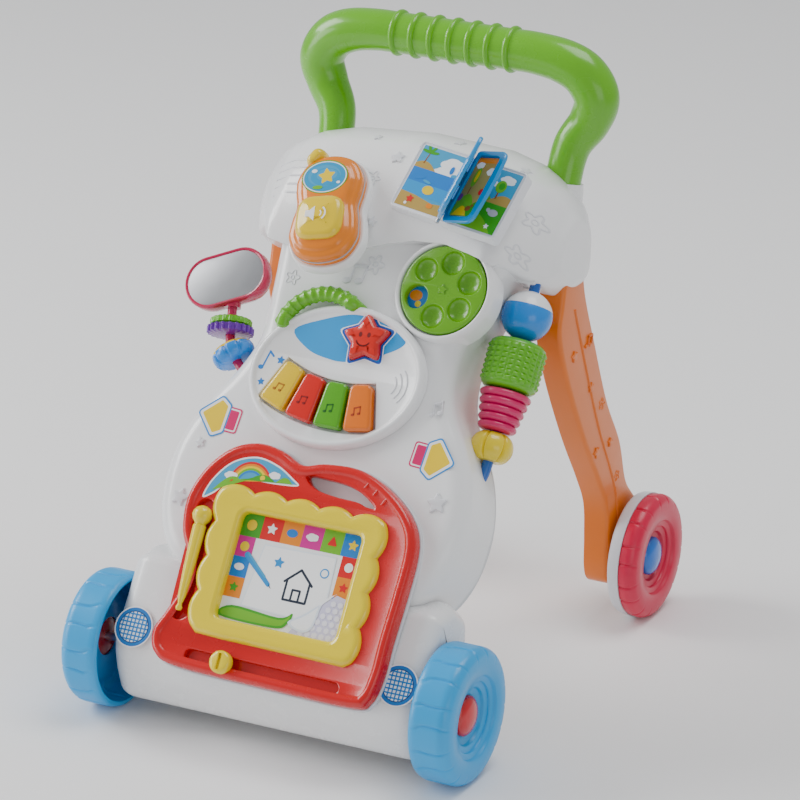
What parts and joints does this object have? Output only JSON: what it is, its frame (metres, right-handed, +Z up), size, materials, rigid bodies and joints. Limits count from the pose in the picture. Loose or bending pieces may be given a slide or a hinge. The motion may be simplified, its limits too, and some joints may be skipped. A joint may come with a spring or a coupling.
{
  "type": "baby walker",
  "caption": "Push-along baby walker: sloping activity panel with detachable drawing board, sound keys, dial, phone, book, beads and mirror, on wheels with a push handle.",
  "frame": {"origin": "on the floor under the middle of the whole walker", "axes": "+Z up, -Y towards the walker's front (the activity panel faces -Y), +X to the viewer's right when facing the panel"},
  "size_m": [0.314, 0.4261, 0.4674],
  "materials": {
    "white_shell": "glossy injection moulded",
    "white_base": "glossy injection moulded",
    "white_console": "glossy injection moulded",
    "white_cover": "fine satin texture",
    "lime_handle": "glossy blow moulded",
    "orange_leg": "satin gloss",
    "axle_steel": "bright drawn",
    "blue_tyre": "satin gloss",
    "red_cap": "glossy",
    "crimson_tyre": "satin gloss",
    "grey_disc": "satin gloss",
    "blue_cap": "glossy",
    "phone_orange": "glossy",
    "phone_yellow": "glossy translucent look",
    "book_white": "glossy",
    "page_blue": "glossy",
    "dial_green": "glossy",
    "picture_print": "printed film",
    "music_white": "glossy",
    "key_yellow": "glossy",
    "key_red": "glossy",
    "key_green": "glossy",
    "key_orange": "glossy",
    "star_red": "glossy",
    "battery_grey": "satin",
    "circuit_board": "lacquered",
    "speaker_black": "paper cone in a black basket",
    "board_red": "high gloss",
    "cradle_grey": "satin gloss",
    "bezel_yellow": "glossy",
    "screen_print": "printed sheet under film",
    "sticker_print": "printed film",
    "rod_blue": "glossy",
    "rod_crimson": "glossy",
    "bead_blue": "glossy",
    "bead_green": "glossy",
    "bead_pink": "glossy",
    "bead_yellow": "glossy",
    "ring_purple": "glossy",
    "mirror_crimson": "glossy",
    "mirror_film": "polished acrylic mirror"
  },
  "bodies": {
    "chassis": {"front_shell": "white_shell", "back_cover": "white_cover", "case_screws": "axle_steel", "base_shell": "white_base", "base_plate": "white_cover", "front_axle": "axle_steel", "rear_leg_right": "orange_leg", "rear_leg_left": "orange_leg", "rear_axles": "axle_steel", "push_handle": "lime_handle", "console_shell": "white_console", "bead_rod": "rod_blue", "ring_rod": "rod_crimson", "phone_cradle": "white_console", "book_base": "book_white", "book_spine_pin": "axle_steel", "dial_picture": "picture_print", "headlight_stickers": "sticker_print", "arrow_stickers": "sticker_print", "board_cradle": "cradle_grey"},
    "front_right_wheel": {"front_right_tyre": "blue_tyre", "front_right_hub_cap": "red_cap"},
    "rear_right_wheel": {"rear_right_disc": "grey_disc", "rear_right_tyre": "crimson_tyre", "rear_right_hub_cap": "blue_cap"},
    "front_left_wheel": {"front_left_tyre": "blue_tyre", "front_left_hub_cap": "red_cap"},
    "rear_left_wheel": {"rear_left_disc": "grey_disc", "rear_left_tyre": "crimson_tyre", "rear_left_hub_cap": "blue_cap"},
    "phone": {"phone_case": "phone_orange", "phone_antenna": "phone_yellow"},
    "phone_button": {"phone_button": "phone_yellow"},
    "page_left": {"book_page_left": "page_blue"},
    "page_right": {"book_page_right": "page_blue"},
    "dial": {"picture_dial": "dial_green"},
    "music_unit": {"music_panel": "music_white", "music_handle": "lime_handle", "battery_box": "battery_grey", "battery_door": "battery_grey", "sound_board": "circuit_board", "speaker": "speaker_black"},
    "key_yellow": {"piano_key_yellow": "key_yellow"},
    "key_red": {"piano_key_red": "key_red"},
    "key_green": {"piano_key_green": "key_green"},
    "key_orange": {"piano_key_orange": "key_orange"},
    "star_button": {"star_button": "star_red"},
    "drawing_board": {"board_frame": "board_red", "board_bezel": "bezel_yellow", "drawing_screen": "screen_print"},
    "pen": {"drawing_pen": "bezel_yellow"},
    "eraser": {"eraser_knob": "bezel_yellow"},
    "ball_bead": {"ball_bead": "bead_blue"},
    "drum_bead": {"drum_bead": "bead_green"},
    "ribbed_bead": {"ribbed_bead": "bead_pink"},
    "segment_bead": {"segment_bead": "bead_yellow"},
    "lower_ring": {"lower_ring_bead": "bead_blue"},
    "upper_ring": {"upper_ring_bead": "ring_purple"},
    "mirror": {"mirror_housing": "mirror_crimson", "mirror_glass": "mirror_film"}
  },
  "joints": [
    {"name": "front_right_wheel_spin", "type": "hinge", "parent": "chassis", "child": "front_right_wheel", "pos_m": [0.142, -0.162, 0.05], "axis": [1, 0, 0], "continuous": true},
    {"name": "rear_right_wheel_spin", "type": "hinge", "parent": "chassis", "child": "rear_right_wheel", "pos_m": [0.137, 0.164, 0.048], "axis": [1, 0, 0], "continuous": true},
    {"name": "front_left_wheel_spin", "type": "hinge", "parent": "chassis", "child": "front_left_wheel", "pos_m": [-0.142, -0.162, 0.05], "axis": [1, 0, 0], "continuous": true},
    {"name": "rear_left_wheel_spin", "type": "hinge", "parent": "chassis", "child": "rear_left_wheel", "pos_m": [-0.137, 0.164, 0.048], "axis": [1, 0, 0], "continuous": true},
    {"name": "phone_lift", "type": "slide", "parent": "chassis", "child": "phone", "axis": [0, -0.7071, 0.7071], "range_m": [0, 0.03]},
    {"name": "phone_button_press", "type": "slide", "parent": "phone", "child": "phone_button", "axis": [0, 0.7071, -0.7071], "range_m": [0, 0.0025], "stiffness_N_per_m": 400, "springref_m": -0.001},
    {"name": "page_left_turn", "type": "hinge", "parent": "chassis", "child": "page_left", "pos_m": [0.057, -0.00319, 0.37954], "axis": [-0.1513, -0.699, -0.699], "range_deg": [-3, 91]},
    {"name": "page_right_turn", "type": "hinge", "parent": "chassis", "child": "page_right", "pos_m": [0.057, -0.00319, 0.37954], "axis": [-0.1513, -0.699, -0.699], "range_deg": [-20, 2]},
    {"name": "dial_turn", "type": "hinge", "parent": "chassis", "child": "dial", "pos_m": [0.062, -0.02834, 0.30831], "axis": [0, -0.829, 0.5592], "continuous": true},
    {"name": "music_unit_lift", "type": "slide", "parent": "chassis", "child": "music_unit", "axis": [0, -0.829, 0.5592], "range_m": [0, 0.04]},
    {"name": "key_yellow_press", "type": "slide", "parent": "music_unit", "child": "key_yellow", "axis": [0, 0.829, -0.5592], "range_m": [0, 0.002], "stiffness_N_per_m": 250, "springref_m": -0.001},
    {"name": "key_red_press", "type": "slide", "parent": "music_unit", "child": "key_red", "axis": [0, 0.829, -0.5592], "range_m": [0, 0.002], "stiffness_N_per_m": 250, "springref_m": -0.001},
    {"name": "key_green_press", "type": "slide", "parent": "music_unit", "child": "key_green", "axis": [0, 0.829, -0.5592], "range_m": [0, 0.002], "stiffness_N_per_m": 250, "springref_m": -0.001},
    {"name": "key_orange_press", "type": "slide", "parent": "music_unit", "child": "key_orange", "axis": [0, 0.829, -0.5592], "range_m": [0, 0.002], "stiffness_N_per_m": 250, "springref_m": -0.001},
    {"name": "star_press", "type": "slide", "parent": "music_unit", "child": "star_button", "axis": [0, 0.829, -0.5592], "range_m": [0, 0.002], "stiffness_N_per_m": 250, "springref_m": -0.001},
    {"name": "board_lift", "type": "slide", "parent": "chassis", "child": "drawing_board", "axis": [0, -0.829, 0.5592], "range_m": [0, 0.06]},
    {"name": "pen_lift", "type": "slide", "parent": "drawing_board", "child": "pen", "axis": [0, -0.829, 0.5592], "range_m": [0, 0.02]},
    {"name": "eraser_slide", "type": "slide", "parent": "drawing_board", "child": "eraser", "axis": [1, 0, 0], "range_m": [-0.026, 0.087]},
    {"name": "ball_bead_spin", "type": "hinge", "parent": "chassis", "child": "ball_bead", "pos_m": [0.11, 0.00538, 0.28678], "axis": [0, 0.5592, 0.829], "continuous": true},
    {"name": "drum_bead_spin", "type": "hinge", "parent": "chassis", "child": "drum_bead", "pos_m": [0.11, -0.01559, 0.25569], "axis": [0, 0.5592, 0.829], "continuous": true},
    {"name": "ribbed_bead_spin", "type": "hinge", "parent": "chassis", "child": "ribbed_bead", "pos_m": [0.11, -0.0346, 0.2275], "axis": [0, 0.5592, 0.829], "continuous": true},
    {"name": "segment_bead_spin", "type": "hinge", "parent": "chassis", "child": "segment_bead", "pos_m": [0.11, -0.04914, 0.20594], "axis": [0, 0.5592, 0.829], "continuous": true},
    {"name": "lower_ring_spin", "type": "hinge", "parent": "chassis", "child": "lower_ring", "pos_m": [-0.09823, -0.05385, 0.24187], "axis": [-0.6597, 0.4203, 0.6231], "continuous": true},
    {"name": "upper_ring_spin", "type": "hinge", "parent": "chassis", "child": "upper_ring", "pos_m": [-0.1064, -0.04318, 0.2577], "axis": [-0.1999, 0.5479, 0.8123], "continuous": true},
    {"name": "mirror_turn", "type": "hinge", "parent": "chassis", "child": "mirror", "pos_m": [-0.111, -0.03056, 0.2764], "axis": [-0.1999, 0.5479, 0.8123], "range_deg": [-40, 40]}
  ]
}
